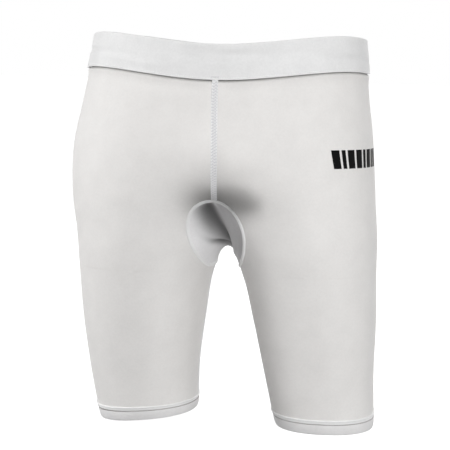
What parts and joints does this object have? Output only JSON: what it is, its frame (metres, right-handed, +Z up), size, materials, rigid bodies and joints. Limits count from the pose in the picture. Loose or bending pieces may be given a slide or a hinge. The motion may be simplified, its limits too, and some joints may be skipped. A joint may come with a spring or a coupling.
{
  "type": "compression shorts",
  "caption": "Close-fitting base-layer shorts with a folded elastic waistband, wrapped leg panels, an oval crotch gusset, flat seams and cover-stitched hems. Each leg swings at the hip.",
  "frame": {"origin": "on the surface the shorts stand on, under the middle of their box", "axes": "+Z up, from the hems to the waistband; the front faces -Y; the wearer's left is +X"},
  "size_m": [0.353, 0.2659, 0.4411],
  "materials": {
    "jersey": "white polyester-elastane warp knit, smooth, faint sheen",
    "lining_mesh": "white open polyester mesh",
    "seam_thread": "white textured polyester flatlock and cover stitching",
    "elastic": "off-white woven elastic",
    "print_film": "black satin heat-transfer film"
  },
  "bodies": {
    "hips": {"right_hip_panel": "jersey", "left_hip_panel": "jersey", "crotch_gusset": "jersey", "gusset_lining": "lining_mesh", "gusset_seam_tape": "seam_thread", "centre_front_seam_tape": "seam_thread", "centre_back_seam_tape": "seam_thread", "right_inseam_tape_top": "seam_thread", "left_inseam_tape_top": "seam_thread", "waistband_casing": "jersey", "waistband_elastic": "elastic", "waistband_join_stitching": "seam_thread", "side_print_transfer": "print_film"},
    "right_thigh": {"right_thigh_panel": "jersey", "right_inseam_tape": "seam_thread", "right_hem_band": "jersey", "right_hem_coverstitch": "seam_thread"},
    "left_thigh": {"left_thigh_panel": "jersey", "left_inseam_tape": "seam_thread", "left_hem_band": "jersey", "left_hem_coverstitch": "seam_thread"}
  },
  "joints": [
    {"name": "right_leg_swing", "type": "hinge", "parent": "hips", "child": "right_thigh", "pos_m": [-0.09, 0.0098, 0.29], "axis": [-1, 0, 0], "range_deg": [-15, 35], "stiffness_Nm_per_rad": 1},
    {"name": "left_leg_swing", "type": "hinge", "parent": "hips", "child": "left_thigh", "pos_m": [0.09, 0.0098, 0.29], "axis": [-1, 0, 0], "range_deg": [-15, 35], "stiffness_Nm_per_rad": 1}
  ]
}
